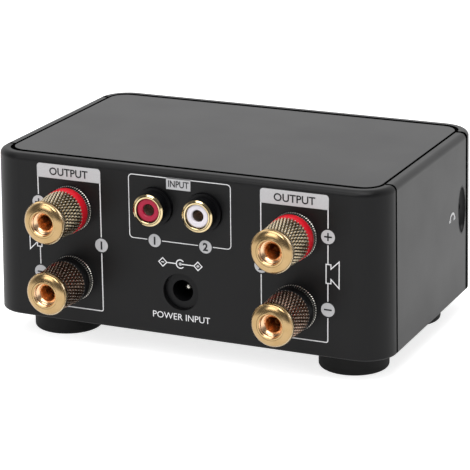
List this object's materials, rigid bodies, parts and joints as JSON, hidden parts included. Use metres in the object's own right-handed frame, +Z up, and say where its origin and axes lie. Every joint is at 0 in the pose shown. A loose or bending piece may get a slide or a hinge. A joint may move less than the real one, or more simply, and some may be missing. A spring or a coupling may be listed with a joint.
{
  "type": "stereo power amplifier",
  "caption": "Small desk-top stereo power amplifier in a black metal case, with knurled binding posts, phono sockets, a round power inlet, volume knob and rubber feet.",
  "frame": {"origin": "on the surface it stands on, under the case's centre", "axes": "+Z up, the rear face with the sockets looks along +Y, +X on the left of somebody who looks at the rear"},
  "size_m": [0.1122, 0.1036, 0.0516],
  "materials": {
    "case_black": "black anodised, satin",
    "plate_black": "black anodised, fine satin",
    "foot_rubber": "matte",
    "screw_steel": "zinc plated",
    "nut_gold": "gold plated, knurled",
    "stud_gold": "gold plated",
    "base_steel": "nickel plated, knurled",
    "ring_red": "clear red",
    "ring_black": "black",
    "phono_gold": "gold plated, polished",
    "insulator_red": "satin",
    "insulator_white": "satin",
    "black_plastic": "moulded",
    "contact_metal": "tin bronze",
    "board_green": "solder resist",
    "brass_plain": "bright",
    "sink_aluminium": "plain",
    "can_sleeve": "shrink sleeve",
    "choke_ferrite": "pressed powder",
    "film_box": "moulded box",
    "lamp_lens": "clear lens",
    "knob_black": "black anodised, turned",
    "shaft_metal": "turned"
  },
  "bodies": {
    "chassis": {"amp_chip": "black_plastic", "board_screws": "screw_steel", "board_standoffs": "brass_plain", "case_sleeve": "case_black", "film_capacitors": "film_box", "foot_front_1": "foot_rubber", "foot_front_2": "foot_rubber", "foot_rear_1": "foot_rubber", "foot_rear_2": "foot_rubber", "foot_screws": "screw_steel", "front_board": "board_green", "front_header": "black_plastic", "front_shell": "case_black", "headphone_contacts": "contact_metal", "headphone_cup": "black_plastic", "headphone_jack": "black_plastic", "heat_sink": "sink_aluminium", "inlet_body": "black_plastic", "inlet_pin": "contact_metal", "input_board": "board_green", "input_header": "black_plastic", "input_spacers": "brass_plain", "main_board": "board_green", "output_chokes": "choke_ferrite", "phono_1_insulator": "insulator_red", "phono_1_shell": "phono_gold", "phono_2_insulator": "insulator_white", "phono_2_shell": "phono_gold", "phono_block": "black_plastic", "phono_contacts": "contact_metal", "post_1_minus_base": "base_steel", "post_1_minus_stud": "stud_gold", "post_1_plus_base": "base_steel", "post_1_plus_stud": "stud_gold", "post_2_minus_base": "base_steel", "post_2_minus_stud": "stud_gold", "post_2_plus_base": "base_steel", "post_2_plus_stud": "stud_gold", "post_hex_nuts": "brass_plain", "post_washers": "black_plastic", "power_lamp": "lamp_lens", "power_switch": "black_plastic", "rear_shell": "case_black", "reservoir_capacitors": "can_sleeve", "speaker_tags": "brass_plain", "top_plate": "plate_black", "volume_nut": "screw_steel", "volume_pot": "shaft_metal"},
    "volume_control": {"volume_knob": "knob_black", "volume_shaft": "shaft_metal"},
    "power_button": {"power_button": "knob_black"},
    "post_1_plus_ring": {"post_1_plus_ring": "ring_red"},
    "post_1_plus_nut": {"post_1_plus_nut": "nut_gold"},
    "post_1_minus_ring": {"post_1_minus_ring": "ring_black"},
    "post_1_minus_nut": {"post_1_minus_nut": "nut_gold"},
    "post_2_plus_ring": {"post_2_plus_ring": "ring_red"},
    "post_2_plus_nut": {"post_2_plus_nut": "nut_gold"},
    "post_2_minus_ring": {"post_2_minus_ring": "ring_black"},
    "post_2_minus_nut": {"post_2_minus_nut": "nut_gold"}
  },
  "joints": [
    {"name": "volume_turn", "type": "hinge", "parent": "chassis", "child": "volume_control", "pos_m": [0.024, -0.0364, 0.0294], "axis": [0, 1, 0], "range_deg": [-150, 150]},
    {"name": "power_press", "type": "slide", "parent": "chassis", "child": "power_button", "axis": [0, 1, 0], "range_m": [0, 0.002]},
    {"name": "post_1_plus_slide", "type": "slide", "parent": "chassis", "child": "post_1_plus_ring", "axis": [0, 1, 0], "range_m": [0, 0.005]},
    {"name": "post_1_plus_turn", "type": "hinge", "parent": "post_1_plus_ring", "child": "post_1_plus_nut", "pos_m": [0.03155, 0.0364, 0.03835], "axis": [0, 1, 0], "range_deg": [0, 1800]},
    {"name": "post_1_minus_slide", "type": "slide", "parent": "chassis", "child": "post_1_minus_ring", "axis": [0, 1, 0], "range_m": [0, 0.005]},
    {"name": "post_1_minus_turn", "type": "hinge", "parent": "post_1_minus_ring", "child": "post_1_minus_nut", "pos_m": [0.03155, 0.0364, 0.0193], "axis": [0, 1, 0], "range_deg": [0, 1800]},
    {"name": "post_2_plus_slide", "type": "slide", "parent": "chassis", "child": "post_2_plus_ring", "axis": [0, 1, 0], "range_m": [0, 0.005]},
    {"name": "post_2_plus_turn", "type": "hinge", "parent": "post_2_plus_ring", "child": "post_2_plus_nut", "pos_m": [-0.03155, 0.0364, 0.03835], "axis": [0, 1, 0], "range_deg": [0, 1800]},
    {"name": "post_2_minus_slide", "type": "slide", "parent": "chassis", "child": "post_2_minus_ring", "axis": [0, 1, 0], "range_m": [0, 0.005]},
    {"name": "post_2_minus_turn", "type": "hinge", "parent": "post_2_minus_ring", "child": "post_2_minus_nut", "pos_m": [-0.03155, 0.0364, 0.0193], "axis": [0, 1, 0], "range_deg": [0, 1800]}
  ],
  "couplings": [
    {"joint": "post_1_plus_turn", "follows": "post_1_plus_slide", "rad_per_m": 6283.2},
    {"joint": "post_1_minus_turn", "follows": "post_1_minus_slide", "rad_per_m": 6283.2},
    {"joint": "post_2_plus_turn", "follows": "post_2_plus_slide", "rad_per_m": 6283.2},
    {"joint": "post_2_minus_turn", "follows": "post_2_minus_slide", "rad_per_m": 6283.2}
  ]
}
